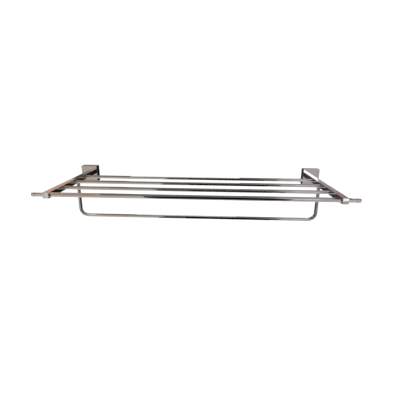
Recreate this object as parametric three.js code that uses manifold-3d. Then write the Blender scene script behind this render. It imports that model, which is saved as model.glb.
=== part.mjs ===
// Wall-mounted towel rack: two square wall blocks, two square arms, a shelf of four parallel
// rails and a U-shaped hanging bar under it. Millimetres, +X along the rails, +Y into the wall,
// +Z up. The origin is on the wall plane, midway between the blocks, at their mid height.
import * as THREE from 'three';
import { mergeVertices } from 'three/addons/utils/BufferGeometryUtils.js';
import Module from 'manifold-3d';

const wasm = await Module();
wasm.setup();

// ---- Driving dimensions -------------------------------------------------------------------
const GAP = 0.3; // clearance left between two pieces that touch
const CLEAR_SPAN = 528; // between the inner faces of the two arms
const OVERHANG = 260; // from the wall to the front end of the arms

const BLOCK = { size: 40, depth: 18, side: 2, front: 3, corner: 0.8, cavityCorner: 1 };
const BOSS = { size: 8, height: 2.5 }; // inside the bottom wall of the block, for the grub screw
const BRACKET = { width: 35.2, top: 17.7, bottom: -14.5, plate: 2.5, corner: 2 };
const FLANGE = { thickness: 2, inset: 4, reach: 12 };
const ARM = { size: 11.5, corner: 0.7, dropFromBlockTop: 7, screwHole: 13 };
const ROD = { radius: 3.5, socket: 8, pitch: 54, sides: 28 };
const FRONT_RAIL = { radius: 4.2, bore: 3.2, length: 600, setback: 8, sides: 32 };
const CAP = { radius: 4.4, collar: 5, dome: 3, spigot: 10, chamfer: 0.6, steps: 6 };
const HANGER = { radius: 3.7, y: -120, drop: 79, bend: 17, socket: 8.2, sides: 24, bendSteps: 10 };

const WALL_SCREW = { shank: 2, head: 4, headHeight: 2.6, length: 36, point: 5, tip: 0.3, spacing: 16 };
const CROSS = { depth: 1.4, width: 1, reach: 2.2 };
const SLOT = { width: 5, length: 8 };
const WALL_PLUG = { radius: 3.4, bore: 2.3, start: 2.6, length: 29, slit: 1, slitLength: 19, endRing: 2 };
const ARM_SCREW = { shank: 2, head: 3.5, headHeight: 4, length: 16, hex: 1.7, socket: 2.2, chamfer: 0.4 };
const WASHER = { radius: 3.6, bore: 2.3, thickness: 0.8, split: 0.9 };
const GRUB = { radius: 2, length: 4.8, hex: 1.15, socket: 2, y: -8 };
const PIN = { radius: 1, length: 4, inset: 0.2, sides: 16 };
const SCREW_SIDES = 20;
const CUT = 5; // how far a cutting body runs past the surface that it opens

// ---- Places that follow from them ---------------------------------------------------------
const ARM_X = CLEAR_SPAN / 2 + ARM.size / 2;
const BLOCK_X = CLEAR_SPAN / 2 + BLOCK.size / 2;
const ARM_Z = BLOCK.size / 2 - ARM.dropFromBlockTop - ARM.size / 2;
const ARM_REAR = -BLOCK.depth - GAP;
const ARM_LENGTH = OVERHANG + ARM_REAR;
const FRONT_RAIL_Y = -OVERHANG + FRONT_RAIL.setback;
const ROD_LENGTH = CLEAR_SPAN + 2 * (ROD.socket - GAP);
const TUBE_LENGTH = FRONT_RAIL.length - 2 * (CAP.collar + CAP.dome + GAP);
const PIN_Z = -ARM.size / 4; // the hanging bar's pins, below the arm's centre line
const UP = new THREE.Vector3(0, 1, 0);

// ---- Materials ----------------------------------------------------------------------------
const chrome = () => new THREE.MeshStandardMaterial({ color: 0xc4c0ba, roughness: 0.08, metalness: 1 });
const steel = () => new THREE.MeshStandardMaterial({ color: 0x9da0a3, roughness: 0.35, metalness: 1 });
const zinc = () => new THREE.MeshStandardMaterial({ color: 0xb9bcc0, roughness: 0.45, metalness: 1 });
const nylon = () => new THREE.MeshStandardMaterial({ color: 0x8b8f93, roughness: 0.7, metalness: 0 });

// ---- Solids -------------------------------------------------------------------------------
function toSolid(geometry) {
  const bare = geometry.clone();
  bare.deleteAttribute('normal');
  bare.deleteAttribute('uv');
  const merged = mergeVertices(bare);
  const index = merged.index.array;
  const triangles = [];
  for (let i = 0; i < index.length; i += 3) {
    const [a, b, c] = [index[i], index[i + 1], index[i + 2]];
    if (a !== b && b !== c && c !== a) triangles.push(a, b, c);
  }
  const vertProperties = new Float32Array(merged.attributes.position.array);
  const triVerts = new Uint32Array(triangles);
  return new wasm.Manifold(new wasm.Mesh({ numProp: 3, vertProperties, triVerts }));
}

function toGeometry(solid) {
  const mesh = solid.getMesh();
  const geometry = new THREE.BufferGeometry();
  geometry.setAttribute('position', new THREE.BufferAttribute(new Float32Array(mesh.vertProperties), 3));
  geometry.setIndex(new THREE.BufferAttribute(new Uint32Array(mesh.triVerts), 1));
  geometry.computeVertexNormals();
  return geometry;
}

// The base with the added pieces joined to it and the tools cut out of it.
function carve(base, { add = [], cut = [] }) {
  let solid = toSolid(base);
  for (const piece of add) solid = solid.add(toSolid(piece));
  for (const tool of cut) solid = solid.subtract(toSolid(tool));
  return toGeometry(solid);
}

// ---- Outlines and simple bodies -----------------------------------------------------------
function roundedRectangle(width, height, radius) {
  const [x, y] = [width / 2 - radius, height / 2 - radius];
  const shape = new THREE.Shape();
  shape.absarc(x, y, radius, 0, Math.PI / 2);
  shape.absarc(-x, y, radius, Math.PI / 2, Math.PI);
  shape.absarc(-x, -y, radius, Math.PI, Math.PI * 1.5);
  shape.absarc(x, -y, radius, Math.PI * 1.5, Math.PI * 2);
  return shape;
}

function slotOutline(length, width) {
  const [reach, radius] = [(length - width) / 2, width / 2];
  const shape = new THREE.Shape();
  shape.absarc(reach, 0, radius, -Math.PI / 2, Math.PI / 2);
  shape.absarc(-reach, 0, radius, Math.PI / 2, Math.PI * 1.5);
  return shape;
}

// An outline in X and Z, given a thickness that runs from Y = 0 towards the front.
function prism(shape, depth, curveSegments = 3) {
  const geometry = new THREE.ExtrudeGeometry(shape, { depth, bevelEnabled: false, curveSegments });
  return geometry.rotateX(Math.PI / 2);
}

const box = (x, y, z, w, d, h) => new THREE.BoxGeometry(w, d, h).translate(x, y, z);
const rodAlongY = (radius, length, sides) => new THREE.CylinderGeometry(radius, radius, length, sides);
const rodAlongX = (radius, length, sides) => rodAlongY(radius, length, sides).rotateZ(Math.PI / 2);
const rodAlongZ = (radius, length, sides) => rodAlongY(radius, length, sides).rotateX(Math.PI / 2);

// A body turned about Y from (radius, y) pairs that run up its outer side.
function turned(profile, sides) {
  return new THREE.LatheGeometry(profile.map(([r, y]) => new THREE.Vector2(r, y)), sides);
}

const ring = (outer, inner, low, high, sides) =>
  turned([[inner, low], [outer, low], [outer, high], [inner, high], [inner, low]], sides);

function place(name, geometry, material, x = 0, y = 0, z = 0) {
  const mesh = new THREE.Mesh(geometry, material);
  mesh.name = name;
  mesh.position.set(x, y, z);
  return mesh;
}

// ---- Wall fixing --------------------------------------------------------------------------
// A steel plate with two levelling slots and a flange folded forward at its top and bottom.
function bracketGeometry() {
  const height = BRACKET.top - BRACKET.bottom;
  const middle = (BRACKET.top + BRACKET.bottom) / 2;
  const plate = prism(roundedRectangle(BRACKET.width, height, BRACKET.corner), BRACKET.plate);
  plate.translate(0, 0, middle);
  const root = BRACKET.plate / 2; // the flanges start inside the plate
  const [flangeWidth, flangeDepth] = [BRACKET.width - 2 * FLANGE.inset, FLANGE.reach - root];
  const flange = (z) => box(0, -root - flangeDepth / 2, z, flangeWidth, flangeDepth, FLANGE.thickness);
  const slots = [1, -1].map((end) => {
    const slot = prism(slotOutline(SLOT.length, SLOT.width), BRACKET.plate + 2 * CUT, 6);
    return slot.translate(0, CUT, (end * WALL_SCREW.spacing) / 2);
  });
  const half = FLANGE.thickness / 2;
  return carve(plate, { add: [flange(BRACKET.top - half), flange(BRACKET.bottom + half)], cut: slots });
}

// A pan-head screw that points into the wall, with a cross recess.
function wallScrewGeometry() {
  const { shank, head, headHeight, length, point, tip } = WALL_SCREW;
  const crown = [
    [0, -headHeight], [head * 0.5, -headHeight], [head * 0.85, -headHeight * 0.8], [head, -headHeight * 0.4],
  ];
  const stem = [[head, 0], [shank, 0], [shank, length - point], [tip, length], [0, length]];
  const { depth, width, reach } = CROSS;
  const bar = (w, h) => box(0, -headHeight, 0, w, 2 * depth, h);
  return carve(turned([...crown, ...stem], SCREW_SIDES), {
    cut: [bar(2 * reach, width), bar(width, 2 * reach)],
  });
}

// A nylon wall plug, open at both ends. Its far half is slit into four fingers so that it can
// spread, and a thin end ring keeps them one moulding.
function wallPlugGeometry() {
  const { radius, bore, length, slit, slitLength, endRing } = WALL_PLUG;
  const cutter = (w, h) => box(0, length - slitLength / 2, 0, w, slitLength, h);
  const fingers = carve(ring(radius, bore, 0, length, SCREW_SIDES), {
    cut: [cutter(4 * radius, slit), cutter(slit, 4 * radius)],
  });
  return carve(fingers, { add: [ring(radius, bore, length - endRing, length, SCREW_SIDES)] });
}

// ---- Wall block ---------------------------------------------------------------------------
// A hollow square block, open at the back. inner is the X side on which the arm is screwed on.
function coverGeometry(inner) {
  const half = BLOCK.size / 2;
  const cavity = BLOCK.size - 2 * BLOCK.side;
  const outline = roundedRectangle(BLOCK.size, BLOCK.size, BLOCK.corner);
  const hollow = prism(roundedRectangle(cavity, cavity, BLOCK.cavityCorner), BLOCK.depth - BLOCK.front + CUT);
  const shell = carve(prism(outline, BLOCK.depth), { cut: [hollow.translate(0, CUT, 0)] });
  const bossHeight = BLOCK.side / 2 + BOSS.height; // rooted halfway through the bottom wall
  const boss = box(0, GRUB.y, (BLOCK.side + bossHeight) / 2 - half, BOSS.size, BOSS.size, bossHeight);
  const grubHole = rodAlongZ(GRUB.radius + GAP, 2 * CUT, SCREW_SIDES).translate(0, GRUB.y, -half);
  const screwHole = rodAlongY(ARM_SCREW.shank + GAP, 2 * CUT, SCREW_SIDES);
  return carve(shell, {
    add: [boss],
    cut: [grubHole, screwHole.translate(armOffset(inner), -BLOCK.depth, ARM_Z)],
  });
}

const armOffset = (inner) => inner * (BLOCK_X - ARM_X);

// A headless screw with a hexagon socket in its lower end, its upper end at Z = 0.
function grubGeometry() {
  const { radius, length, hex, socket } = GRUB;
  const body = rodAlongZ(radius, length, SCREW_SIDES).translate(0, 0, -length / 2);
  return carve(body, { cut: [rodAlongZ(hex, 2 * socket, 6).translate(0, 0, -length)] });
}

// A cap screw pointing forward, its head resting at Y = 0 and open towards the wall.
function armScrewGeometry() {
  const { shank, head, headHeight, length, hex, socket, chamfer } = ARM_SCREW;
  const profile = [
    [0, -length], [shank - chamfer, -length], [shank, chamfer - length], [shank, 0], [head, 0],
    [head, headHeight - chamfer], [head - chamfer, headHeight], [0, headHeight],
  ];
  const hexagon = rodAlongY(hex, 2 * socket, 6).translate(0, headHeight, 0);
  return carve(turned(profile, SCREW_SIDES), { cut: [hexagon] });
}

function washerGeometry() {
  const { radius, bore, thickness, split } = WASHER;
  return carve(ring(radius, bore, 0, thickness, SCREW_SIDES), {
    cut: [box(0, thickness / 2, radius, split, 4 * thickness, 2 * radius)],
  });
}

// ---- Arm ----------------------------------------------------------------------------------
// A square bar with a screw hole in its rear end, blind sockets for the rods and the hanging
// bar, a through hole for the front rail and two small holes for the locking pins.
// Local frame: rear end at Y = 0, section centred on the Y axis. inner is the X side of the rods.
function armGeometry(inner) {
  const half = ARM.size / 2;
  const bar = prism(roundedRectangle(ARM.size, ARM.size, ARM.corner), ARM_LENGTH);
  const reach = 2 * ROD.socket;
  const rodSockets = rodPlaces().map((y) =>
    rodAlongX(ROD.radius + GAP, reach, ROD.sides).translate(inner * half, y - ARM_REAR, 0),
  );
  const railY = FRONT_RAIL_Y - ARM_REAR;
  const hangerY = HANGER.y - ARM_REAR;
  const cut = [
    ...rodSockets,
    rodAlongY(ARM_SCREW.shank + GAP, 2 * ARM.screwHole, SCREW_SIDES),
    rodAlongX(FRONT_RAIL.radius + GAP, 2 * ARM.size, FRONT_RAIL.sides).translate(0, railY, 0),
    rodAlongZ(HANGER.radius + GAP, 2 * HANGER.socket + 2 * GAP, HANGER.sides).translate(0, hangerY, -half),
    rodAlongZ(PIN.radius + GAP, CUT, PIN.sides).translate(0, railY, -half),
    rodAlongX(PIN.radius + GAP, CUT, PIN.sides).translate(-inner * half, hangerY, PIN_Z),
  ];
  return carve(bar, { cut });
}

// ---- Shelf --------------------------------------------------------------------------------
// The rods' Y places, from the wall outwards, one pitch apart and ending one pitch behind the rail.
const rodPlaces = () => [3, 2, 1].map((steps) => FRONT_RAIL_Y + steps * ROD.pitch);

// The front rail is a tube with a pin hole through its lower wall inside each arm.
function frontRailGeometry() {
  const tube = ring(FRONT_RAIL.radius, FRONT_RAIL.bore, -TUBE_LENGTH / 2, TUBE_LENGTH / 2, FRONT_RAIL.sides);
  const pinHoles = [-1, 1].map((end) =>
    rodAlongZ(PIN.radius + GAP, CUT, PIN.sides).translate(end * ARM_X, 0, -FRONT_RAIL.radius),
  );
  return carve(tube.rotateZ(-Math.PI / 2), { cut: pinHoles });
}

// An end cap along +Y: a spigot that goes into the tube, a collar and a domed nose.
function capGeometry() {
  const { radius, collar, dome, spigot, chamfer, steps } = CAP;
  const nose = Array.from({ length: steps }, (_, i) => {
    const angle = ((i + 1) / steps) * (Math.PI / 2);
    return [radius * Math.cos(angle), collar + dome * Math.sin(angle)];
  });
  nose[steps - 1][0] = 0; // exactly on the axis
  const inside = FRONT_RAIL.bore - GAP;
  const plug = [[0, -spigot], [inside - chamfer, -spigot], [inside, chamfer - spigot], [inside, 0]];
  return turned([...plug, [radius, 0], [radius, collar], ...nose], FRONT_RAIL.sides);
}

// ---- Hanging bar --------------------------------------------------------------------------
// The centre line of the U: down the left leg, round the bend, along and up the right leg.
// Stations lie only where the line needs them: at the ends and along the two bends.
class HangerLine extends THREE.Curve {
  constructor(halfWidth, top, low, bend, steps) {
    super();
    const arc = (cx, from, to) => Array.from({ length: steps + 1 }, (_, i) => {
      const angle = from + ((to - from) * i) / steps;
      const point = new THREE.Vector3(cx + bend * Math.cos(angle), 0, low + bend + bend * Math.sin(angle));
      return { point, tangent: new THREE.Vector3(-Math.sin(angle), 0, Math.cos(angle)) };
    });
    this.stations = [
      { point: new THREE.Vector3(-halfWidth, 0, top), tangent: new THREE.Vector3(0, 0, -1) },
      ...arc(-halfWidth + bend, Math.PI, 1.5 * Math.PI),
      ...arc(halfWidth - bend, 1.5 * Math.PI, 2 * Math.PI),
      { point: new THREE.Vector3(halfWidth, 0, top), tangent: new THREE.Vector3(0, 0, 1) },
    ];
  }
  station(u) {
    return this.stations[Math.round(u * (this.stations.length - 1))];
  }
  getPointAt(u, target = new THREE.Vector3()) {
    return target.copy(this.station(u).point);
  }
  getTangentAt(u, target = new THREE.Vector3()) {
    return target.copy(this.station(u).tangent);
  }
}

function hangerGeometry() {
  const under = ARM_Z - ARM.size / 2;
  const [top, low] = [under + HANGER.socket, under - HANGER.drop];
  const line = new HangerLine(ARM_X, top, low, HANGER.bend, HANGER.bendSteps);
  const section = new THREE.Shape().absarc(0, 0, HANGER.radius, 0, 2 * Math.PI);
  const bar = new THREE.ExtrudeGeometry(section, {
    steps: line.stations.length - 1,
    curveSegments: HANGER.sides,
    extrudePath: line,
  });
  const pinHoles = [-1, 1].map((end) =>
    rodAlongX(PIN.radius + GAP, CUT, PIN.sides).translate(end * (ARM_X + HANGER.radius), 0, ARM_Z + PIN_Z),
  );
  return carve(bar, { cut: pinHoles });
}

// ---- Assembly -----------------------------------------------------------------------------
function wallStation(side, name) {
  const group = new THREE.Group();
  group.position.x = side * BLOCK_X;
  const half = WALL_SCREW.spacing / 2;
  for (const [level, z] of [['upper', half], ['lower', -half]]) {
    const screwY = -BRACKET.plate - GAP;
    group.add(place(`wall_screw_${level}_${name}`, wallScrewGeometry(), steel(), 0, screwY, z));
    group.add(place(`wall_plug_${level}_${name}`, wallPlugGeometry(), nylon(), 0, WALL_PLUG.start, z));
  }
  group.add(place(`wall_bracket_${name}`, bracketGeometry(), zinc()));
  group.add(place(`block_cover_${name}`, coverGeometry(-side), chrome()));
  const grubTop = BRACKET.bottom - GAP;
  group.add(place(`cover_grub_screw_${name}`, grubGeometry(), steel(), 0, GRUB.y, grubTop));
  const x = armOffset(-side);
  const washerY = -BLOCK.depth + BLOCK.front + GAP;
  group.add(place(`arm_washer_${name}`, washerGeometry(), steel(), x, washerY, ARM_Z));
  const headY = washerY + WASHER.thickness + GAP;
  group.add(place(`arm_screw_${name}`, armScrewGeometry(), steel(), x, headY, ARM_Z));
  return group;
}

function armStation(side, name) {
  const group = new THREE.Group();
  group.position.set(side * ARM_X, 0, ARM_Z);
  group.add(place(`side_arm_${name}`, armGeometry(-side), chrome(), 0, ARM_REAR, 0));
  const middle = ARM.size / 2 - PIN.inset - PIN.length / 2; // of a pin, from the arm's centre line
  const railPin = rodAlongZ(PIN.radius, PIN.length, PIN.sides);
  group.add(place(`rail_locking_pin_${name}`, railPin, steel(), 0, FRONT_RAIL_Y, -middle));
  const barPin = rodAlongX(PIN.radius, PIN.length, PIN.sides);
  group.add(place(`hanger_locking_pin_${name}`, barPin, steel(), side * middle, HANGER.y, PIN_Z));
  return group;
}

function shelf() {
  const group = new THREE.Group();
  group.position.z = ARM_Z;
  rodPlaces().forEach((y, i) => {
    const rod = rodAlongX(ROD.radius, ROD_LENGTH, ROD.sides);
    group.add(place(`shelf_rail_${['rear', 'middle', 'fore'][i]}`, rod, chrome(), 0, y, 0));
  });
  group.add(place('front_rail', frontRailGeometry(), chrome(), 0, FRONT_RAIL_Y, 0));
  for (const [side, name] of [[-1, 'left'], [1, 'right']]) {
    const cap = place(`rail_end_cap_${name}`, capGeometry(), chrome(), 0, FRONT_RAIL_Y, 0);
    cap.position.x = side * (TUBE_LENGTH / 2 + GAP);
    cap.quaternion.setFromUnitVectors(UP, new THREE.Vector3(side, 0, 0));
    group.add(cap);
  }
  return group;
}

const rack = new THREE.Group();
rack.name = 'towel_rack';
for (const [side, name] of [[-1, 'left'], [1, 'right']]) {
  rack.add(wallStation(side, name), armStation(side, name));
}
rack.add(shelf());
rack.add(place('hanging_bar', hangerGeometry(), chrome(), 0, HANGER.y, 0));

export default rack;
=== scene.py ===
"""Looks of a wall-mounted towel rack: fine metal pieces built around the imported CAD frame.

Pieces are modelled in millimetres in the row frame (+X along the rails, +Y into the wall, +Z up)
and scaled to metres when they are finished.
"""

from math import cos, pi, radians, sin, tau

import bmesh
import bpy
from mathutils import Matrix, Vector


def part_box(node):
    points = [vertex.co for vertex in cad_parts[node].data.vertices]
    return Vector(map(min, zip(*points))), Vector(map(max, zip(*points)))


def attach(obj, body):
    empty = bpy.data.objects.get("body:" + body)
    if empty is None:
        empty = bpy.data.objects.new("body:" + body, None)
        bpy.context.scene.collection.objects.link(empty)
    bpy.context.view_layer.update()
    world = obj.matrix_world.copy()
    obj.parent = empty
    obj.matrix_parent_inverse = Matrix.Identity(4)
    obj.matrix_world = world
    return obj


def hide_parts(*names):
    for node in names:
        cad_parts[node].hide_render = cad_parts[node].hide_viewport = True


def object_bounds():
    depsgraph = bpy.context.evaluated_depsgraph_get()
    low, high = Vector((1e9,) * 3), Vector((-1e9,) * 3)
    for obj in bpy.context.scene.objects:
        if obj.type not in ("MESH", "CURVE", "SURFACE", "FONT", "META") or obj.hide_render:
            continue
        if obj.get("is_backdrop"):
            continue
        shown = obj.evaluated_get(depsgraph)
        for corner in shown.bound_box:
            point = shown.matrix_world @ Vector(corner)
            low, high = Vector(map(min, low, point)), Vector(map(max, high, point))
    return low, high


MM = 0.001
SIDES = {"left": -1, "right": 1}
LEVELS = ("upper", "lower")
RODS = ("rear", "middle", "fore")
ALONG = Vector((1, 0, 0))
INTO_WALL = Vector((0, 1, 0))
UP = Vector((0, 0, 1))

# ---- Camera, floor and light (metres and degrees; the lens in millimetres) -----------------
CAMERA_PLACE = Vector((0.0321, -0.7813, 0.1565))
CAMERA_YAW, CAMERA_PITCH, CAMERA_ROLL = -2.136, -16.233, 0.514
CAMERA_LENS, CAMERA_SENSOR = 27.28, 36.0
FLOOR_DROP, FLOOR_SIZE = 0.6, 40.0
FLOOR_TONES, FLOOR_ROUGHNESS = (0.93, 0.95), 0.9
LIGHT_PLACE, LIGHT_SIZE, LIGHT_WATTS = Vector((-0.6, -0.9, 1.1)), 1.2, 6.0
WHITE_LEVEL = 1.15  # of the background and of the light on dull surfaces

# ---- Sizes of the fine pieces (millimetres; the slits of PIN and WASHER in degrees) --------
FIT = 0.06  # clearance of a rod in its socket
TOUCH = 0.1  # a point this near an edge counts as on it
SHARP = 38  # degrees: edges that turn by more than this stay crisp
ROUND_SIDES = 72
HOLE_SIDES = 32
PAST = 20.0  # how far a cutting body runs past the surface that it opens
HEX_PAST = 2.0  # and a hexagon cutter past the end of its screw
COVER = {"side": 2.0, "front": 3.0, "edge": 0.7, "cavity_edge": 1.0, "screw_hole": 2.3}
BOSS = {"size": 8.0, "height": 2.5, "sunk": 1.0, "y": -8.0, "edge": 0.5, "hole": 2.1}
ARM_EDGE = 0.6
ARM_SCREW_HOLE = {"radius": 2.06, "depth": 13.0, "past": 5.0}
ROD_SOCKET = 8.0
ROD_END = {"chamfer": 0.5, "groove": 0.25, "groove_width": 0.5, "slope": 0.1, "grooves": (2.5, 4.5)}
TUBE = {"bore": 3.2, "chamfer": 0.15, "past_end": 0.22}
CAP = {"collar": 5.0, "spigot": 10.0, "spigot_radius": 2.85, "chamfer": 0.6, "seam": 0.25, "nose": 16}
RIB = {"starts": (-7.5, -5.5, -3.5), "height": 0.22, "width": 1.0, "slope": 0.25}  # on the cap's spigot
HANGER = {"bend": 17.0, "bend_steps": 20, "chamfer": 0.4}
PIN = {"wall": 0.32, "slit": 40.0, "chamfer": 0.25, "hole": 1.06, "hole_depth": 2.5}
SHEET = {  # the wall bracket
    "thickness": 2.5, "bend": 3.2, "steps": 8, "ear": 2.8, "relief": 1.2, "notch": 1.0,
    "corner": 2.0, "corner_steps": 3, "tab_chamfer": 1.0,
}
SLOT = {"radius": 2.5, "length": 8.0, "spacing": 16.0, "cut": 9.0, "sides": 48}
WALL_SCREW = {  # rows, here and below: rings of points in one turn of the thread
    "shank": 2.0, "head_height": 2.6, "lip": 0.15, "fillet": 0.3, "thread_start": 4.0, "pitch": 1.8,
    "depth": 0.62, "point": 5.0, "tip": 0.25, "last_row": 0.4, "rows": 8, "sides": 36,
}
CROWN = ((0.3, 0.99), (0.55, 0.94), (0.75, 0.83), (0.9, 0.62), (0.98, 0.38), (1, 0.2))  # shares of a pan head
CROSS = {"reach": 2.2, "width": 1.0, "depth": 1.4, "past": 1.0, "taper": 0.62}
ARM_SCREW = {
    "shank": 2.0, "head_height": 4.0, "pitch": 0.7, "depth": 0.38, "hex": 1.7, "socket": 2.2,
    "chamfer": 0.4, "neck": 0.6, "edge": 0.2, "crown": 0.5, "crown_steps": 5, "rows": 6, "sides": 96,
}
KNURL = {"teeth": 24, "depth": 0.1, "from": 0.3, "from_top": 0.8, "row": 0.6, "inset": 0.1}  # on its head
GRUB = {
    "pitch": 0.7, "depth": 0.36, "hex": 1.15, "socket": 2.0, "cup": 0.6, "cup_rim": 0.15, "point": 0.5,
    "chamfer": 0.4, "rows": 6, "sides": 48,
}
WASHER = {"bore": 2.3, "slit": 14.0, "rise": 0.22, "edge": 0.12}
PLUG = {
    "bore": 2.3, "mouth": 0.3, "edge": 0.2, "collar": 2.2, "step": 0.3, "end": 2.0, "nose": (0.4, 0.5),
    "slit": 1.0, "slit_length": 19.0, "slit_reach": 5.0, "sides": 48,
}
BARB = {"depth": 0.42, "pitch": 2.4, "crest": (0.5, 0.15)}  # a crest's start and end, back from the next barb


# ---- Places read from the frame ------------------------------------------------------------
def box_mm(node):
    """A node's lowest and highest corners at rest, in millimetres."""
    low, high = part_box(node)
    return low / MM, high / MM


def centre_mm(node):
    low, high = box_mm(node)
    return (low + high) / 2


# ---- Mesh building -------------------------------------------------------------------------
def turned(profile, sides=ROUND_SIDES, closed=False, rule=None):
    """A body turned about Z from (radius, z) pairs; a pair on the axis is a pole.

    rule(angle, radius, z) gives the radius at each point, for threads and knurls."""
    body = bmesh.new()
    rings = []
    for radius, z in profile:
        ring = []
        for step in range(sides if radius else 1):
            angle = tau * step / sides
            reach = rule(angle, radius, z) if rule and radius else radius
            ring.append(body.verts.new((reach * cos(angle), reach * sin(angle), z)))
        rings.append(ring)
    pairs = list(zip(rings, rings[1:]))
    if closed:
        pairs.append((rings[-1], rings[0]))
    for low, high in pairs:
        for step in range(sides):
            after = step + 1
            corners = [
                low[step % len(low)], low[after % len(low)],
                high[after % len(high)], high[step % len(high)],
            ]
            body.faces.new(list(dict.fromkeys(corners)))
    bmesh.ops.recalc_face_normals(body, faces=body.faces)
    return body


def rod(radius, low, high, sides=ROUND_SIDES):
    """A cylinder between two heights on Z."""
    return turned([(0, low), (radius, low), (radius, high), (0, high)], sides)


def rounded_box(low, high, edge=0.0, steps=5, sharp_y=None):
    """A box between two corners; its edges are rounded, apart from those that lie at Y = sharp_y."""
    body = bmesh.new()
    bmesh.ops.create_cube(body, size=1)
    size = Vector(high) - Vector(low)
    middle = (Vector(high) + Vector(low)) / 2
    body.transform(Matrix.Translation(middle) @ Matrix.Diagonal((*size, 1)))

    def is_rounded(line):
        return sharp_y is None or min(vert.co.y for vert in line.verts) < sharp_y - TOUCH

    if edge:
        rounded = [line for line in body.edges if is_rounded(line)]
        bmesh.ops.bevel(body, geom=rounded, offset=edge, segments=steps, profile=0.5, affect="EDGES")
    return body


def open_ring(profile, slit, rise=0.0, steps=48):
    """A closed (radius, z) outline carried round Z, except for a slit of that many degrees.

    Its end stands rise above its start."""
    body = bmesh.new()
    start, turn = radians(slit / 2), tau - radians(slit)
    rings = []
    for step in range(steps + 1):
        share = step / steps
        angle = start + turn * share
        lift = rise * (share - 0.5)
        rings.append([body.verts.new((r * cos(angle), r * sin(angle), z + lift)) for r, z in profile])
    count = len(profile)
    for one, other in zip(rings, rings[1:]):
        for k in range(count):
            after = (k + 1) % count
            body.faces.new((one[k], one[after], other[after], other[k]))
    body.faces.new(rings[0])
    body.faces.new(rings[-1])
    bmesh.ops.recalc_face_normals(body, faces=body.faces)
    return body


def aimed(body, direction, place=(0, 0, 0)):
    """Turns a body built along Z to point in a direction, and puts its origin at a place."""
    turn = UP.rotation_difference(Vector(direction)).to_matrix().to_4x4()
    body.transform(Matrix.Translation(Vector(place)) @ turn)
    return body


def as_object(body, name):
    mesh = bpy.data.meshes.new(name)
    body.to_mesh(mesh)
    body.free()
    obj = bpy.data.objects.new(name, mesh)
    bpy.context.scene.collection.objects.link(obj)
    return obj


def settled(obj):
    """The object's mesh with its modifiers applied, as a bmesh; the object goes."""
    bpy.context.view_layer.update()
    final = obj.evaluated_get(bpy.context.evaluated_depsgraph_get()).to_mesh()
    body = bmesh.new()
    body.from_mesh(final)
    bpy.data.objects.remove(obj)
    return body


def carved(base, tools, operation="DIFFERENCE"):
    """The base with every tool cut out of it, or joined to it by the UNION operation."""
    obj = as_object(base, "base")
    cutters = [as_object(tool, "tool") for tool in tools]
    for cutter in cutters:
        step = obj.modifiers.new("carve", "BOOLEAN")
        step.operation = operation
        step.solver = "EXACT"
        step.object = cutter
    body = settled(obj)
    for cutter in cutters:
        bpy.data.objects.remove(cutter)
    return body


def finish_piece(node, body, material):
    """Makes the body the visible piece of a CAD node."""
    body.transform(Matrix.Scale(MM, 4))
    for face in body.faces:
        face.smooth = True
    for edge in body.edges:
        edge.smooth = edge.calc_face_angle(pi) < radians(SHARP)
    obj = as_object(body, f"{node}_fine")
    normals = obj.modifiers.new("weighted_normals", "WEIGHTED_NORMAL")
    normals.keep_sharp = True
    obj.data.materials.append(material)
    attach(obj, "root")
    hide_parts(node)


# ---- Threads and knurls --------------------------------------------------------------------
def eased(share):
    """A smooth step from 0 to 1."""
    share = min(max(share, 0.0), 1.0)
    return share * share * (3 - 2 * share)


def thread(radius, depth, pitch, low, high):
    """A rule for turned(): a V thread between two heights that runs out over one pitch."""
    def rule(angle, reach, z):
        ridge = abs(2 * ((z / pitch - angle / tau) % 1) - 1)
        cut = depth * (1 - ridge) * eased((z - low) / pitch) * eased((high - z) / pitch)
        return reach - min(cut, cut * reach / radius)
    return rule


def knurled(rule, depth, teeth, low, high):
    """The same rule, with straight teeth between two other heights."""
    def both(angle, reach, z):
        tooth = depth * (1 - cos(teeth * angle)) / 2
        return rule(angle, reach, z) - (tooth if low < z < high else 0)
    return both


def rows(low, high, step):
    """Heights from low to high, evenly spaced about a step apart."""
    count = max(1, round((high - low) / step))
    return [low + (high - low) * k / count for k in range(count + 1)]


def arc(centre_r, centre_z, radius, start, end, steps):
    """(radius, z) pairs along an arc between two angles in degrees."""
    angles = [radians(start + (end - start) * k / steps) for k in range(steps + 1)]
    return [(centre_r + radius * cos(a), centre_z + radius * sin(a)) for a in angles]


# ---- Wall blocks and arms ------------------------------------------------------------------
def block_cover(side):
    """A die-cast block, hollow and open at the back, with a boss for its grub screw."""
    low, high = box_mm(f"block_cover_{side}")
    middle = (low + high) / 2
    arm = centre_mm(f"side_arm_{side}")
    shell = rounded_box(low, high, COVER["edge"], sharp_y=high.y)
    wall = COVER["side"]
    cavity_low = low + Vector((wall, COVER["front"], wall))
    cavity_high = high + Vector((-wall, PAST, -wall))
    cavity = rounded_box(cavity_low, cavity_high, COVER["cavity_edge"])
    half = BOSS["size"] / 2
    floor = low.z + wall
    boss_low = (middle.x - half, BOSS["y"] - half, floor - BOSS["sunk"])
    boss_high = (middle.x + half, BOSS["y"] + half, floor + BOSS["height"])
    boss = rounded_box(boss_low, boss_high, BOSS["edge"])
    shell = carved(shell, [cavity])
    shell = carved(shell, [boss], "UNION")
    grub = aimed(rod(BOSS["hole"], -PAST, PAST / 2), UP, (middle.x, BOSS["y"], low.z))
    screw = aimed(rod(COVER["screw_hole"], -PAST, PAST / 2), INTO_WALL, (arm.x, low.y, arm.z))
    return carved(shell, [grub, screw])


def pin_hole():
    """A cutter for a pin's hole, centred on the surface that it opens."""
    return rod(PIN["hole"], -PIN["hole_depth"], PIN["hole_depth"], HOLE_SIDES)


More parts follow.
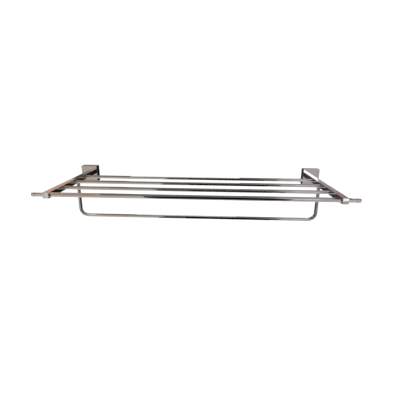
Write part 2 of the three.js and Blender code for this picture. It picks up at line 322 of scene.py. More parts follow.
def side_arm(side):
    """A square bar with holes for the rods, the front rail, its screw, the hanging bar and two pins."""
    low, high = box_mm(f"side_arm_{side}")
    inner = -SIDES[side]
    middle = (low + high) / 2
    half = (high.x - low.x) / 2
    bar = rounded_box(low, high, ARM_EDGE, sharp_y=high.y)
    tools = []
    for rail in RODS:
        rod_low, rod_high = box_mm(f"shelf_rail_{rail}")
        socket = rod((rod_high.z - rod_low.z) / 2 + FIT, -ROD_SOCKET, ROD_SOCKET)
        place = (middle.x + inner * half, (rod_low.y + rod_high.y) / 2, middle.z)
        tools.append(aimed(socket, ALONG, place))
    rail_low, rail_high = box_mm("front_rail")
    rail_y = (rail_low.y + rail_high.y) / 2
    through = rod((rail_high.z - rail_low.z) / 2 + FIT, -PAST, PAST)
    tools.append(aimed(through, ALONG, (middle.x, rail_y, middle.z)))
    tapped = rod(ARM_SCREW_HOLE["radius"], -ARM_SCREW_HOLE["depth"], ARM_SCREW_HOLE["past"])
    tools.append(aimed(tapped, INTO_WALL, (middle.x, high.y, middle.z)))
    bar_low, bar_high = box_mm("hanging_bar")
    bar_y = (bar_low.y + bar_high.y) / 2
    socket = rod((bar_high.y - bar_low.y) / 2 + FIT, -PAST / 2, bar_high.z + FIT - low.z)
    tools.append(aimed(socket, UP, (middle.x, bar_y, low.z)))
    pin = centre_mm(f"rail_locking_pin_{side}")
    tools.append(aimed(pin_hole(), UP, (pin.x, pin.y, low.z)))
    pin = centre_mm(f"hanger_locking_pin_{side}")
    tools.append(aimed(pin_hole(), ALONG, (middle.x - inner * half, pin.y, pin.z)))
    return carved(bar, tools)


# ---- Rails ---------------------------------------------------------------------------------
def shelf_rail(rail):
    """A solid polished rod; its ends, hidden in the sockets, have a chamfer and two grooves."""
    low, high = box_mm(f"shelf_rail_{rail}")
    radius, end = (high.z - low.z) / 2, (high.x - low.x) / 2
    chamfer = ROD_END["chamfer"]
    half = [(0, -end), (radius - chamfer, -end), (radius, chamfer - end)]
    deep, slope = radius - ROD_END["groove"], ROD_END["slope"]
    for start in ROD_END["grooves"]:
        stop = start + ROD_END["groove_width"]
        groove = ((radius, start), (deep, start + slope), (deep, stop - slope), (radius, stop))
        half += [(r, z - end) for r, z in groove]
    other = [(r, -z) for r, z in reversed(half)]
    return aimed(turned(half + other), ALONG, (low + high) / 2)


def front_rail():
    """A tube that runs a little past its CAD ends into the caps, with a hole for each locking pin."""
    low, high = box_mm("front_rail")
    outer, end = (high.z - low.z) / 2, (high.x - low.x) / 2 + TUBE["past_end"]
    bore, chamfer = TUBE["bore"], TUBE["chamfer"]
    half = [(bore, chamfer - end), (bore + chamfer, -end), (outer - chamfer, -end), (outer, chamfer - end)]
    profile = half + [(r, -z) for r, z in reversed(half)]
    tube = aimed(turned(profile, closed=True), ALONG, (low + high) / 2)
    holes = []
    for side in SIDES:
        pin = centre_mm(f"rail_locking_pin_{side}")
        holes.append(aimed(pin_hole(), UP, (pin.x, pin.y, low.z)))
    return carved(tube, holes)


def rail_end_cap(side):
    """A turned cap: a ribbed spigot inside the rail, a fine seam, a collar and a domed nose."""
    low, high = box_mm(f"rail_end_cap_{side}")
    radius, length = (high.z - low.z) / 2, high.x - low.x
    spigot, collar, seam = CAP["spigot"], CAP["collar"], CAP["seam"]
    dome = length - spigot - collar
    inside, chamfer = CAP["spigot_radius"], CAP["chamfer"]
    profile = [(0, -spigot), (inside - chamfer, -spigot), (inside, chamfer - spigot)]
    crest, slope = inside + RIB["height"], RIB["slope"]
    for start in RIB["starts"]:
        stop = start + RIB["width"]
        profile += [(inside, start), (crest, start + slope), (crest, stop - slope), (inside, stop)]
    profile += [(inside, 0), (radius - seam, 0), (radius, seam)]
    steps = CAP["nose"]
    for k in range(steps + 1):
        angle = pi / 2 * k / steps
        profile.append((radius * cos(angle) if k < steps else 0, collar + dome * sin(angle)))
    seat = (low + high) / 2
    outward = SIDES[side]
    joint = seat.x - outward * (length / 2 - spigot)
    return aimed(turned(profile), (outward, 0, 0), (joint, seat.y, seat.z))


def hanging_bar():
    """A round bar bent into a U; its legs have chamfered tops and a blind hole for each pin."""
    low, high = box_mm("hanging_bar")
    radius = (high.y - low.y) / 2
    left, right = low.x + radius, high.x - radius
    foot, top, bend = low.z + radius, high.z, HANGER["bend"]
    stations = []

    def leg(x, heading, heights):
        for z, reach in heights:
            stations.append((Vector((x, 0, z)), Vector((0, 0, heading)), reach))

    def corner(x, start):
        for k in range(HANGER["bend_steps"] + 1):
            angle = start + pi / 2 * k / HANGER["bend_steps"]
            point = Vector((x + bend * cos(angle), 0, foot + bend + bend * sin(angle)))
            stations.append((point, Vector((-sin(angle), 0, cos(angle))), radius))

    chamfer = HANGER["chamfer"]
    leg(left, -1, [(top, radius - chamfer), (top - chamfer, radius)])
    corner(left + bend, pi)
    corner(right - bend, 1.5 * pi)
    leg(right, 1, [(top - chamfer, radius), (top, radius - chamfer)])
    body = bmesh.new()
    rings = []
    for point, heading, reach in stations:
        across = heading.cross(INTO_WALL)
        ring = []
        for k in range(ROUND_SIDES):
            angle = tau * k / ROUND_SIDES
            offset = across * (reach * cos(angle)) + INTO_WALL * (reach * sin(angle))
            ring.append(body.verts.new(point + offset))
        rings.append(ring)
    for one, other in zip(rings, rings[1:]):
        for k in range(ROUND_SIDES):
            after = (k + 1) % ROUND_SIDES
            body.faces.new((one[k], one[after], other[after], other[k]))
    body.faces.new(rings[0])
    body.faces.new(rings[-1])
    bmesh.ops.recalc_face_normals(body, faces=body.faces)
    bmesh.ops.translate(body, verts=body.verts, vec=(0, (low.y + high.y) / 2, 0))
    holes = []
    for side, outward in SIDES.items():
        pin_low, pin_high = box_mm(f"hanger_locking_pin_{side}")
        pin = (pin_low + pin_high) / 2
        tip = pin_low.x if outward > 0 else pin_high.x
        hole = rod(PIN["hole"], -FIT, PAST / 2, HOLE_SIDES)
        holes.append(aimed(hole, (outward, 0, 0), (tip, pin.y, pin.z)))
    return carved(body, holes)


# ---- Fasteners -----------------------------------------------------------------------------
def locking_pin(node, direction):
    """A slotted spring pin rolled from strip, with chamfered ends."""
    low, high = box_mm(node)
    size = high - low
    along = abs(Vector(direction).dot(size))
    radius, half = min(size) / 2, along / 2
    inner, chamfer = radius - PIN["wall"], PIN["chamfer"]
    profile = [
        (inner, -half), (radius - chamfer / 2, -half), (radius, chamfer - half),
        (radius, half - chamfer), (radius - chamfer / 2, half), (inner, half),
    ]
    return aimed(open_ring(profile, PIN["slit"]), direction, (low + high) / 2)


def wall_screw(level, side):
    """A pan-head wood screw with a cross recess and a rolled thread."""
    low, high = box_mm(f"wall_screw_{level}_{side}")
    head, height = (high.x - low.x) / 2, WALL_SCREW["head_height"]
    shank, point = WALL_SCREW["shank"], WALL_SCREW["point"]
    length = high.y - low.y - height
    pitch, start = WALL_SCREW["pitch"], WALL_SCREW["thread_start"]
    lip, fillet, tip = WALL_SCREW["lip"], WALL_SCREW["fillet"], WALL_SCREW["tip"]
    crown = [(0, -height), *[(head * r, -height * z) for r, z in CROWN]]
    neck = [(head, -lip), (head - lip, 0), (shank + fillet, 0), (shank, fillet), (shank, start)]
    row = pitch / WALL_SCREW["rows"]
    stem = []
    for z in rows(start + row, length - WALL_SCREW["last_row"], row):
        stem.append((min(shank, tip + (shank - tip) * (length - z) / point), z))
    rule = thread(shank, WALL_SCREW["depth"], pitch, start, length)
    body = turned(crown + neck + stem + [(0, length)], WALL_SCREW["sides"], rule=rule)
    reach, width, depth = CROSS["reach"], CROSS["width"], CROSS["depth"]
    blades = []
    for along, across in ((reach, width / 2), (width / 2, reach)):
        blade = rounded_box((-along, -across, -height - CROSS["past"]), (along, across, depth - height))
        for vert in blade.verts:
            if vert.co.z > -height:
                vert.co.x *= CROSS["taper"]
                vert.co.y *= CROSS["taper"]
        blades.append(blade)
    body = carved(body, blades)
    seat = Vector(((low.x + high.x) / 2, low.y + height, (low.z + high.z) / 2))
    return aimed(body, INTO_WALL, seat)


def arm_screw(side):
    """A cap screw with a knurled head, open towards the wall, and a fine thread."""
    low, high = box_mm(f"arm_screw_{side}")
    head, height = (high.x - low.x) / 2, ARM_SCREW["head_height"]
    shank, pitch = ARM_SCREW["shank"], ARM_SCREW["pitch"]
    length = high.y - low.y - height
    chamfer, neck = ARM_SCREW["chamfer"], ARM_SCREW["neck"]
    edge, crown = ARM_SCREW["edge"], ARM_SCREW["crown"]
    teeth_low, teeth_high, inset = KNURL["from"], height - KNURL["from_top"], KNURL["inset"]
    stem = [(0, -length), (shank - chamfer, -length)]
    stem += [(shank, z) for z in rows(chamfer - length, -neck, pitch / ARM_SCREW["rows"])]
    top = [(shank, -edge), (shank + edge, 0), (head - edge, 0), (head, edge)]
    top += [(head, z) for z in rows(teeth_low + inset, teeth_high - inset, KNURL["row"])]
    top += [(head, teeth_high + inset)]
    top += arc(head - crown, height - crown, crown, 0, 90, ARM_SCREW["crown_steps"])
    top += [(0, height)]
    rule = thread(shank, ARM_SCREW["depth"], pitch, -length, -neck)
    rule = knurled(rule, KNURL["depth"], KNURL["teeth"], teeth_low, teeth_high)
    body = turned(stem + top, ARM_SCREW["sides"], rule=rule)
    hexagon = rod(ARM_SCREW["hex"], height - ARM_SCREW["socket"], height + HEX_PAST, 6)
    body = carved(body, [hexagon])
    return aimed(body, INTO_WALL, ((low.x + high.x) / 2, high.y - height, (low.z + high.z) / 2))


def cover_grub_screw(side):
    """A headless screw with a hexagon socket below and a cup point above."""
    low, high = box_mm(f"cover_grub_screw_{side}")
    radius, length = (high.x - low.x) / 2, high.z - low.z
    cup, point, chamfer = GRUB["cup"], GRUB["point"], GRUB["chamfer"]
    profile = [(0, -cup), (radius - cup - point, -GRUB["cup_rim"]), (radius - point, 0)]
    profile += [(radius, -z) for z in rows(point, length - chamfer, GRUB["pitch"] / GRUB["rows"])]
    profile += [(radius - chamfer, -length), (0, -length)]
    rule = thread(radius, GRUB["depth"], GRUB["pitch"], -length, 0)
    body = turned(profile, GRUB["sides"], rule=rule)
    hexagon = rod(GRUB["hex"], -length - HEX_PAST, GRUB["socket"] - length, 6)
    body = carved(body, [hexagon])
    return aimed(body, UP, ((low.x + high.x) / 2, (low.y + high.y) / 2, high.z))


def arm_washer(side):
    """A split spring washer, its ends slightly out of line."""
    low, high = box_mm(f"arm_washer_{side}")
    radius = (high.x - low.x) / 2
    half = (high.y - low.y) / 2 - WASHER["rise"] / 4
    bore, edge = WASHER["bore"], WASHER["edge"]
    profile = [
        (bore + edge, -half), (radius - edge, -half), (radius, edge - half), (radius, half - edge),
        (radius - edge, half), (bore + edge, half), (bore, half - edge), (bore, edge - half),
    ]
    body = open_ring(profile, WASHER["slit"], WASHER["rise"])
    body.transform(Matrix.Rotation(pi / 2, 4, "Z"))
    return aimed(body, INTO_WALL, (low + high) / 2)


def wall_plug(level, side):
    """A nylon plug: a smooth collar, then barbed fingers that two crossed slits leave."""
    low, high = box_mm(f"wall_plug_{level}_{side}")
    radius, length = (high.x - low.x) / 2, high.y - low.y
    bore, mouth, edge, step = PLUG["bore"], PLUG["mouth"], PLUG["edge"], PLUG["step"]
    core, pitch = radius - BARB["depth"], BARB["pitch"]
    crest_start, crest_end = BARB["crest"]
    nose_width, nose_length = PLUG["nose"]
    profile = [(bore + mouth, 0), (radius - edge, 0), (radius, edge), (radius, PLUG["collar"])]
    z = PLUG["collar"] + step
    while z + pitch < length - PLUG["end"]:
        following = z + pitch
        profile += [(core, z), (core, z + step)]
        profile += [(radius, following - crest_start), (radius, following - crest_end)]
        z = following
    profile += [(core, z), (core, length - nose_length), (core - nose_width, length)]
    profile += [(bore, length), (bore, mouth)]
    body = turned(profile, PLUG["sides"], closed=True)
    start, end = length - PLUG["slit_length"], length - PLUG["end"]
    half, reach = PLUG["slit"] / 2, PLUG["slit_reach"]
    one = rounded_box((-reach, -half, start), (reach, half, end))
    other = rounded_box((-half, -reach, start), (half, reach, end))
    body = carved(body, [one, other])
    return aimed(body, INTO_WALL, ((low.x + high.x) / 2, low.y, (low.z + high.z) / 2))


def wall_bracket(side):
    """A pressed steel bracket: slotted plate, relief notches and two flanges bent forward."""
    low, high = box_mm(f"wall_bracket_{side}")
    middle = (low + high) / 2
    height, half = (high.z - low.z) / 2, (high.x - low.x) / 2
    thickness, bend = SHEET["thickness"], SHEET["bend"]
    start = height - bend
    arc_length = (bend - thickness / 2) * pi / 2
    end = start + arc_length + (high.y - low.y) - bend
    ear, relief, corner = SHEET["ear"], SHEET["relief"], SHEET["corner"]
    tab = half - ear - relief
    notch, chamfer = start - SHEET["notch"], SHEET["tab_chamfer"]
    quarter = [(half, 0), *arc(half - corner, height - corner, corner, 0, 90, SHEET["corner_steps"])]
    quarter += [(half - ear, height), (half - ear, notch), (tab, notch)]
    quarter += [(tab, end - chamfer), (tab - chamfer, end)]
    mirrored = [(-x, z) for x, z in reversed(quarter)]
    upper = quarter + mirrored
    outline = upper[:-1] + [(-x, -z) for x, z in upper][:-1]
    plate = bmesh.new()
    face = plate.faces.new([plate.verts.new((x, 0, z)) for x, z in outline])
    front = bmesh.ops.extrude_face_region(plate, geom=[face])["geom"]
    moved = [v for v in front if isinstance(v, bmesh.types.BMVert)]
    bmesh.ops.translate(plate, verts=moved, vec=(0, -thickness, 0))
    bmesh.ops.recalc_face_normals(plate, faces=plate.faces)
    slots = []
    reach = SLOT["length"] / 2 - SLOT["radius"]
    for z in (SLOT["spacing"] / 2 - middle.z, -SLOT["spacing"] / 2 - middle.z):
        slot = rod(SLOT["radius"], -SLOT["cut"], SLOT["cut"], SLOT["sides"])
        for vert in slot.verts:
            vert.co.x += reach if vert.co.x > 0 else -reach
        slots.append(aimed(slot, INTO_WALL, (0, 0, z)))
    plate = carved(plate, slots)
    for k in range(SHEET["steps"] + 1):
        for sign in (1, -1):
            z = sign * (start + arc_length * k / SHEET["steps"])
            geometry = [*plate.verts, *plate.edges, *plate.faces]
            bmesh.ops.bisect_plane(plate, geom=geometry, plane_co=(0, 0, z), plane_no=(0, 0, 1))
    for vert in plate.verts:
        over = abs(vert.co.z) - start
        if over <= 0 or abs(vert.co.x) > tab + TOUCH:
            continue
        depth, sign = -vert.co.y, 1 if vert.co.z > 0 else -1
        angle = min(over / arc_length, 1) * pi / 2
        straight = max(over - arc_length, 0)
        vert.co.y = -(bend - (bend - depth) * cos(angle)) - straight
        vert.co.z = sign * (start + (bend - depth) * sin(angle))
    bmesh.ops.translate(plate, verts=plate.verts, vec=(middle.x, high.y, middle.z))
    return plate


# ---- Materials (scales are in repeats per metre) -------------------------------------------
DULL_SHARE = 0.82  # how much of its tint dull zinc keeps
HAIR, STREAK = 5000.0, 40.0  # polishing lines, across and along the strokes
DRAWN = (900.0, 900.0, 9000.0)  # drawn lines on plated steel, along X, Y and Z
FLOW = (1600.0, 120.0, 1600.0)  # flow streaks on nylon
MIX_ONE, MIX_OTHER, MIX_RESULT = 6, 7, 2  # the Mix node's sockets for colours


class Shading:
    """Short calls for building a node tree."""

    def __init__(self, tree):
        self.tree = tree

    def add(self, kind, *inputs, **settings):
        node = self.tree.nodes.new(kind)
        for name, value in settings.items():
            setattr(node, name, value)
        for slot, value in enumerate(inputs):
            self.put(node, slot, value)
        return node

    def put(self, node, slot, value):
        if isinstance(value, bpy.types.NodeSocket):
            self.tree.links.new(value, node.inputs[slot])
        elif value is not None:
            node.inputs[slot].default_value = value

    def math(self, operation, *values):
        return self.add("ShaderNodeMath", *values, operation=operation).outputs[0]

    def between(self, value, low, high, to_low=0.0, to_high=1.0, smooth=False):
        node = self.add("ShaderNodeMapRange", value, low, high, to_low, to_high)
        node.interpolation_type = "SMOOTHSTEP" if smooth else "LINEAR"
        return node.outputs[0]

    def noise(self, vector, scale, detail=3.0, roughness=0.5):
        return self.add("ShaderNodeTexNoise", vector, None, scale, detail, roughness).outputs[0]

    def weighed(self, one, weight, other):
        """A sum of two values: one by its weight, and the other by the rest of 1."""
        one, other = self.math("MULTIPLY", one, weight), self.math("MULTIPLY", other, 1 - weight)
        return self.math("ADD", one, other)

    def stretched(self, vector, scale):
        return self.add("ShaderNodeVectorMath", vector, scale, operation="MULTIPLY").outputs[0]

    def blend(self, share, one, other):
        node = self.tree.nodes.new("ShaderNodeMix")
        node.data_type = "RGBA"
        self.put(node, 0, share)
        self.put(node, MIX_ONE, one)
        self.put(node, MIX_OTHER, other)
        return node.outputs[MIX_RESULT]


def linear(level):
    """The light that a 0-255 screen value stands for, by the sRGB curve."""
    level /= 255
    return level / 12.92 if level <= 0.04045 else ((level + 0.055) / 1.055) ** 2.4


def colour(red, green, blue, gain=1.0):
    """A colour from its 0-255 screen values, made brighter or darker by a gain."""
    return (*[linear(level) * gain for level in (red, green, blue)], 1.0)


def new_material(name, metallic):
    material = bpy.data.materials.new(name)
    material.use_nodes = True
    shader = material.node_tree.nodes["Principled BSDF"]
    shader.inputs["Metallic"].default_value = metallic
    shade = Shading(material.node_tree)
    place = shade.add("ShaderNodeTexCoord").outputs["Object"]
    return material, shader, shade, place


def bump(shade, shader, height, distance):
    """A bump of that many metres where the height goes from 0 to 1."""
    node = shade.tree.nodes.new("ShaderNodeBump")
    node.inputs["Strength"].default_value = 1.0
    node.inputs["Distance"].default_value = distance
    shade.put(node, "Height", height)
    shade.put(shader, "Normal", node.outputs[0])


def polished_chrome(name, grain):
    """Bright plate: hair-fine polishing lines, faint smears and a slow ripple.

    grain is about how many lines a metre holds along X, Y and Z."""
    material, shader, shade, place = new_material(name, metallic=1.0)
    smears = shade.noise(place, scale=38.0, detail=5.0, roughness=0.6)
    lines = shade.noise(shade.stretched(place, grain), scale=1.0, detail=2.0, roughness=0.6)
    warm, cool = colour(228, 223, 215), colour(238, 235, 231)
    shade.put(shader, "Base Color", shade.blend(shade.between(smears, 0.35, 0.65), warm, cool))
    smeared = shade.between(smears, 0.42, 0.7, to_low=0.006, to_high=0.026, smooth=True)
    lined = shade.between(lines, 0.5, 0.8, to_low=0.0, to_high=0.012)
    shade.put(shader, "Roughness", shade.math("ADD", smeared, lined))
    ripple = shade.noise(place, scale=90.0, detail=2.0, roughness=0.4)
    bump(shade, shader, shade.weighed(ripple, 0.8, lines), distance=0.000004)
    return material


def plated_steel(name, tint, spangle, smooth, rough):
    """Zinc plate on pressed or rolled steel: soft crystals, drawn lines and dull patches."""
    material, shader, shade, place = new_material(name, metallic=1.0)
    crystals = shade.add("ShaderNodeTexVoronoi", place, None, spangle).outputs["Color"]
    patches = shade.noise(place, scale=130.0, detail=5.0, roughness=0.65)
    drawn = shade.noise(shade.stretched(place, DRAWN), scale=1.0, detail=2.0)
    share = shade.weighed(crystals, 0.4, patches)
    dull = colour(*[level * DULL_SHARE for level in tint])
    shade.put(shader, "Base Color", shade.blend(shade.between(share, 0.3, 0.7), dull, colour(*tint)))
    shade.put(shader, "Roughness", shade.between(patches, 0.3, 0.7, to_low=smooth, to_high=rough))
    bump(shade, shader, shade.math("ADD", patches, drawn), distance=0.00003)
    return material


def dark_steel(name):
    """Blackened high-tensile steel with rubbed, lighter patches."""
    material, shader, shade, place = new_material(name, metallic=1.0)
    wear = shade.noise(place, scale=420.0, detail=6.0, roughness=0.7)
    rubbed = shade.between(wear, 0.5, 0.68, smooth=True)
    shade.put(shader, "Base Color", shade.blend(rubbed, colour(84, 86, 90), colour(158, 160, 164)))
    shade.put(shader, "Roughness", shade.between(rubbed, 0.0, 1.0, to_low=0.42, to_high=0.26))
    bump(shade, shader, shade.noise(place, scale=1800.0, detail=4.0), distance=0.00002)
    return material


def grey_nylon(name):
    """Moulded nylon: cloudy colour, fine sparkle-eroded skin and flow streaks."""
    material, shader, shade, place = new_material(name, metallic=0.0)
    clouds = shade.noise(place, scale=160.0, detail=4.0, roughness=0.6)
    streaks = shade.noise(shade.stretched(place, FLOW), scale=1.0, detail=3.0)
    share = shade.weighed(clouds, 0.7, streaks)
    deep, pale = colour(124, 129, 134), colour(148, 152, 156)
    shade.put(shader, "Base Color", shade.blend(shade.between(share, 0.35, 0.65), deep, pale))
    shade.put(shader, "Roughness", shade.between(clouds, 0.3, 0.7, to_low=0.48, to_high=0.66))
    shader.inputs["Subsurface Weight"].default_value = 0.08
    shader.inputs["Subsurface Scale"].default_value = 0.0015
    bump(shade, shader, shade.noise(place, scale=3500.0, detail=3.0), distance=0.00003)
    return material


# ---- Studio --------------------------------------------------------------------------------
# A direction's X share is the X of its unit vector. Its angle, in degrees, goes round the rails'
# axis: 0 is towards the room and 90 is up.
CHROME_GAIN = 1.28  # makes up for the plate, which mirrors about four fifths of what it sees
SIDE_EDGES = ((-0.24, -0.16), (0.19, 0.24))  # X shares where left turns to middle, and middle to right
TINTS = ((1.02, 0.99, 0.97), (1.01, 0.99, 1.0), (1.0, 0.98, 1.01))  # left, middle, right
FAN = (  # angle, then the grey seen there at the left, in the middle and at the right
    (-180, 40, 40, 22), (-154, 44, 44, 24), (-148, 168, 170, 172), (-95, 178, 178, 172),
    (-60, 168, 168, 160), (-10, 156, 152, 154), (10, 146, 140, 156), (30, 128, 118, 158),
    (50, 108, 102, 154), (70, 96, 98, 148), (95, 88, 98, 140), (120, 88, 100, 128),
    (150, 92, 100, 122), (164, 108, 96, 128), (171, 112, 92, 150), (176, 120, 84, 150),
    (180, 60, 58, 58),
)
CARDS = (  # X shares from and to, angles from and to, softness of both, colour
    (-0.412, -0.393, 160, 169, 0.003, 1, (70, 64, 64)),
    (-0.42, -0.27, -172, -158, 0.01, 2, (52, 47, 64)),
    (-0.60, -0.445, -20, -7, 0.004, 2, (190, 184, 184)),
    (0.372, 0.60, 44, 154, 0.008, 3, (44, 40, 46)),
    (0.385, 0.42, -15.9, -12, 0.004, 0.1, (240, 243, 255)),
    (0.26, 0.335, 6, 14, 0.01, 1, (290, 296, 304)),
    (0.22, 0.327, 164, 169.3, 0.003, 0.3, (250, 250, 250)),
    (0.58, 0.92, -181, 181, 0.04, 1, (56, 51, 48)),
    (-0.92, -0.62, -181, 181, 0.04, 1, (70, 66, 80)),
)
DEEP_BLACK, BRIGHT, MAUVE = (8, 7, 8), (250, 250, 250), (130, 112, 122)
SALMON, WARM_GREY, ROSE, PALE = (182, 145, 124), (148, 131, 123), (140, 115, 113), (178, 170, 168)
FLAG_Y = -0.85
FLAG = (  # X and Z round the black flag in front: a post that widens downwards, and a wing at its left
    (-0.20, 0.24), (-0.03, 0.44), (0.17, 0.44), (0.30, 0.14), (0.338, -0.08), (0.36, -0.38), (0.43, -0.83),
    (0.68, -2.10), (-0.13, -2.10), (-0.10, -0.80), (-0.085, -0.24), (-0.19, -0.15),
)
NEAR_FLAG = {"x": (-0.10, 0.04), "y": -0.30, "z": (-0.135, 0.02)}  # black, just in front of the rails
BOARD = {"x": (-0.10, 0.18), "y": (-0.225, 0.05), "z": -0.14}  # black, level, below the rack
GLOW = {"x": (-0.18, 0.105), "y": (-0.10, -0.02), "z": (0.03, 0.09)}  # bright, over and behind the rear rail
WALL_Y = 0.05
WARM_WALLS = (  # coloured areas of the wall beyond each arm: X and Z ranges, tone
    ((-0.95, -0.36), (0.055, 0.11), SALMON),
    ((-0.95, -0.30), (0.11, 0.20), SALMON),
    ((-0.95, -0.42), (0.20, 0.45), SALMON),
    ((-0.42, -0.335), (0.20, 0.45), WARM_GREY),
    ((0.38, 0.60), (0.07, 0.11), ROSE),
    ((0.30, 0.60), (0.11, 0.25), ROSE),
)
CORNER_SHEET = {"x": (-0.42, -0.19), "y": (-0.29, -0.235), "z": 0.06}  # warm, over the front left corner
STUB_X, STUB_LID_Z = (0.294, 0.35), 0.036  # of two small panels over each end of the front rail
LID_Y, SHADE_Y = (-0.25, -0.19), (-0.29, -0.25)  # the bright one and the mauve one
STUB_FRONT = {"y": -0.30, "z": (-0.05, 0.026)}  # a pale panel in front of it


def side_ramp(shade, fan, column):
    """The grey that metal mirrors round the rail axis, for one column of FAN."""
    ramp = shade.tree.nodes.new("ShaderNodeValToRGB")
    shade.put(ramp, 0, shade.between(fan, -180.0, 180.0))
    stops = ramp.color_ramp.elements
    stops.remove(stops[1])
    for k, (angle, *greys) in enumerate(FAN):
        place = (angle + 180) / 360
        stop = stops[0] if k == 0 else stops.new(place)
        stop.position = place
        tone = [greys[column] * share for share in TINTS[column]]
        stop.color = colour(*tone, gain=CHROME_GAIN)
    return ramp.outputs[0]


def studio_world():
    """White to the camera and to dull surfaces; what polished metal mirrors is a fan of soft
    greys, with the darker, brighter and tinted areas of CARDS over it."""
    world = bpy.data.worlds.new("studio")
    bpy.context.scene.world = world
    world.use_nodes = True
    world.cycles.sampling_method = "NONE"  # lets each kind of ray see its own side of the studio
    tree = world.node_tree
    tree.nodes.clear()
    shade = Shading(tree)
    direction = shade.add("ShaderNodeTexCoord").outputs["Generated"]
    x, y, z = shade.add("ShaderNodeSeparateXYZ", direction).outputs
    fan = shade.math("DEGREES", shade.math("ARCTAN2", z, shade.math("MULTIPLY", y, -1.0)))
    left, middle, right = [side_ramp(shade, fan, column) for column in range(len(TINTS))]
    left_share, right_share = [shade.between(x, *edges, smooth=True) for edges in SIDE_EDGES]
    seen = shade.blend(right_share, shade.blend(left_share, left, middle), right)
    for start, end, low, high, soft_x, soft_angle, tone in CARDS:
        mask, *others = (
            shade.between(x, start - soft_x, start + soft_x, smooth=True),
            shade.between(x, end + soft_x, end - soft_x, smooth=True),
            shade.between(fan, low - soft_angle, low + soft_angle, smooth=True),
            shade.between(fan, high + soft_angle, high - soft_angle, smooth=True),
        )
        for other in others:
            mask = shade.math("MULTIPLY", mask, other)
        seen = shade.blend(mask, seen, colour(*tone, gain=CHROME_GAIN))
    is_glossy = shade.add("ShaderNodeLightPath").outputs["Is Glossy Ray"]
    dull_light = (WHITE_LEVEL, WHITE_LEVEL, WHITE_LEVEL, 1.0)
    background = shade.add("ShaderNodeBackground", shade.blend(is_glossy, dull_light, seen))
    output = tree.nodes.new("ShaderNodeOutputWorld")
    tree.links.new(background.outputs[0], output.inputs[0])


def studio_panel(name, outlines, tone):
    """A panel near the rack that only polished metal sees."""
    body = bmesh.new()
    for outline in outlines:
        body.faces.new([body.verts.new(corner) for corner in outline])
    panel = as_object(body, name)
    for ray in ("camera", "diffuse", "transmission", "volume_scatter", "shadow"):
        setattr(panel, f"visible_{ray}", False)
    material = bpy.data.materials.new(name)
    material.use_nodes = True
    material.cycles.emission_sampling = "NONE"
    tree = material.node_tree
    tree.nodes.clear()
    shade = Shading(tree)
    output = tree.nodes.new("ShaderNodeOutputMaterial")
    shade.put(output, 0, shade.add("ShaderNodeEmission", colour(*tone, gain=CHROME_GAIN)).outputs[0])
    panel.data.materials.append(material)
    panel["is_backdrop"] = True


def level_sheet(x, y, z):
    """The corners of a level rectangle, from its ranges of X and Y and its height."""
    return [(x[0], y[0], z), (x[1], y[0], z), (x[1], y[1], z), (x[0], y[1], z)]


def upright_sheet(x, y, z):
    """The corners of a rectangle that faces the room, from its ranges of X and Z and its Y."""
    return [(x[0], y, z[0]), (x[1], y, z[0]), (x[1], y, z[1]), (x[0], y, z[1])]


def studio_panels():
    """Black, bright and tinted panels near the rack, for what the chrome mirrors at close range."""
    studio_panel("front_flag", [[(x, FLAG_Y, z) for x, z in FLAG]], DEEP_BLACK)
    studio_panel("near_flag", [upright_sheet(NEAR_FLAG["x"], NEAR_FLAG["y"], NEAR_FLAG["z"])], DEEP_BLACK)
    studio_panel("rear_board", [level_sheet(BOARD["x"], BOARD["y"], BOARD["z"])], DEEP_BLACK)
    behind = upright_sheet(GLOW["x"], GLOW["y"][1], GLOW["z"])
    above = level_sheet(GLOW["x"], GLOW["y"], GLOW["z"][1])
    studio_panel("wall_glow", [behind, above], BRIGHT)
    for number, (x, z, tone) in enumerate(WARM_WALLS):
        studio_panel(f"warm_wall_{number}", [upright_sheet(x, WALL_Y, z)], tone)
    corner = level_sheet(CORNER_SHEET["x"], CORNER_SHEET["y"], CORNER_SHEET["z"])
    studio_panel("corner_sheet", [corner], SALMON)
    for side, outward in SIDES.items():
        x = sorted(outward * edge for edge in STUB_X)
        studio_panel(f"stub_lid_{side}", [level_sheet(x, LID_Y, STUB_LID_Z)], BRIGHT)
        studio_panel(f"stub_shade_{side}", [level_sheet(x, SHADE_Y, STUB_LID_Z)], MAUVE)
        studio_panel(f"stub_front_{side}", [upright_sheet(x, STUB_FRONT["y"], STUB_FRONT["z"])], PALE)


def studio_floor():
    """A plain pale floor well below the rack, which the chrome doesn't mirror."""
    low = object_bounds()[0]
    body = bmesh.new()
    bmesh.ops.create_grid(body, x_segments=1, y_segments=1, size=FLOOR_SIZE / 2)
    bmesh.ops.translate(body, verts=body.verts, vec=(0, 0, low.z - FLOOR_DROP))
    floor = as_object(body, "studio_floor")
    material, shader, shade, place = new_material("pale_floor", metallic=0.0)
    pale, paler = FLOOR_TONES
    tone = shade.between(shade.noise(place, scale=3.0), 0.0, 1.0, to_low=pale, to_high=paler)
    shade.put(shader, "Base Color", tone)
    shader.inputs["Roughness"].default_value = FLOOR_ROUGHNESS
    shader.inputs["Specular IOR Level"].default_value = 0.0
    floor.data.materials.append(material)
    floor.visible_glossy = False
    floor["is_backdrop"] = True


def studio_camera():
    """The photograph's viewing angle."""
    camera = bpy.data.objects.new("camera", bpy.data.cameras.new("camera"))
    bpy.context.scene.collection.objects.link(camera)
    camera.data.sensor_width = CAMERA_SENSOR
    camera.data.lens = CAMERA_LENS
    turn = Matrix.Rotation(radians(-CAMERA_YAW), 4, "Z")
    tilt = Matrix.Rotation(radians(90 + CAMERA_PITCH), 4, "X")
    roll = Matrix.Rotation(radians(CAMERA_ROLL), 4, "Z")
    camera.matrix_world = Matrix.Translation(CAMERA_PLACE) @ turn @ tilt @ roll
    bpy.context.scene.camera = camera


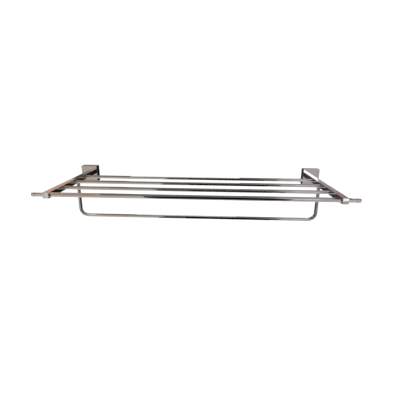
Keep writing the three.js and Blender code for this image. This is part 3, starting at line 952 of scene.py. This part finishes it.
def studio_light():
    """A large soft light above, in front and to the left; no chrome mirrors it."""
    light = bpy.data.lights.new("soft_light", "AREA")
    light.size = LIGHT_SIZE
    light.energy = LIGHT_WATTS
    lamp = bpy.data.objects.new("soft_light", light)
    lamp.location = LIGHT_PLACE
    lamp.rotation_mode = "QUATERNION"
    lamp.rotation_quaternion = (-LIGHT_PLACE).to_track_quat("-Z", "Y")
    lamp.visible_glossy = False
    bpy.context.scene.collection.objects.link(lamp)


# ---- Assembly ------------------------------------------------------------------------------
def build_rack():
    """Every visible piece, with its material and the CAD node that it stands for."""
    rail_chrome = polished_chrome("chrome_rail", (STREAK, HAIR, HAIR))
    arm_chrome = polished_chrome("chrome_arm", (HAIR, STREAK, HAIR))
    block_chrome = polished_chrome("chrome_block", (HAIR, HAIR, STREAK))
    bracket_zinc = plated_steel("zinc_bracket", (198, 200, 196), spangle=420.0, smooth=0.3, rough=0.45)
    screw_zinc = plated_steel("zinc_screw", (206, 208, 210), spangle=900.0, smooth=0.26, rough=0.4)
    black_steel = dark_steel("dark_steel")
    nylon = grey_nylon("grey_nylon")
    for side in SIDES:
        finish_piece(f"block_cover_{side}", block_cover(side), block_chrome)
        finish_piece(f"side_arm_{side}", side_arm(side), arm_chrome)
        finish_piece(f"rail_end_cap_{side}", rail_end_cap(side), rail_chrome)
        finish_piece(f"wall_bracket_{side}", wall_bracket(side), bracket_zinc)
        finish_piece(f"arm_screw_{side}", arm_screw(side), screw_zinc)
        finish_piece(f"arm_washer_{side}", arm_washer(side), screw_zinc)
        finish_piece(f"cover_grub_screw_{side}", cover_grub_screw(side), black_steel)
        for pin, direction in (("rail_locking_pin", UP), ("hanger_locking_pin", ALONG)):
            node = f"{pin}_{side}"
            finish_piece(node, locking_pin(node, direction), black_steel)
        for level in LEVELS:
            finish_piece(f"wall_screw_{level}_{side}", wall_screw(level, side), screw_zinc)
            finish_piece(f"wall_plug_{level}_{side}", wall_plug(level, side), nylon)
    for rail in RODS:
        finish_piece(f"shelf_rail_{rail}", shelf_rail(rail), rail_chrome)
    finish_piece("front_rail", front_rail(), rail_chrome)
    finish_piece("hanging_bar", hanging_bar(), rail_chrome)


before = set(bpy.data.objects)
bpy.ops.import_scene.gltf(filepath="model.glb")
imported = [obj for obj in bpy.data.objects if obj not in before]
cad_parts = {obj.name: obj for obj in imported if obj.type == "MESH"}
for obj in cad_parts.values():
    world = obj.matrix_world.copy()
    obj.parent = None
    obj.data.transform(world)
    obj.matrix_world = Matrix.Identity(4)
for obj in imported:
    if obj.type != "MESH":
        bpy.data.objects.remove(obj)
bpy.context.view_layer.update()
bpy.context.scene.view_settings.view_transform = "Standard"
build_rack()
studio_world()
studio_panels()
studio_floor()
studio_light()
studio_camera()
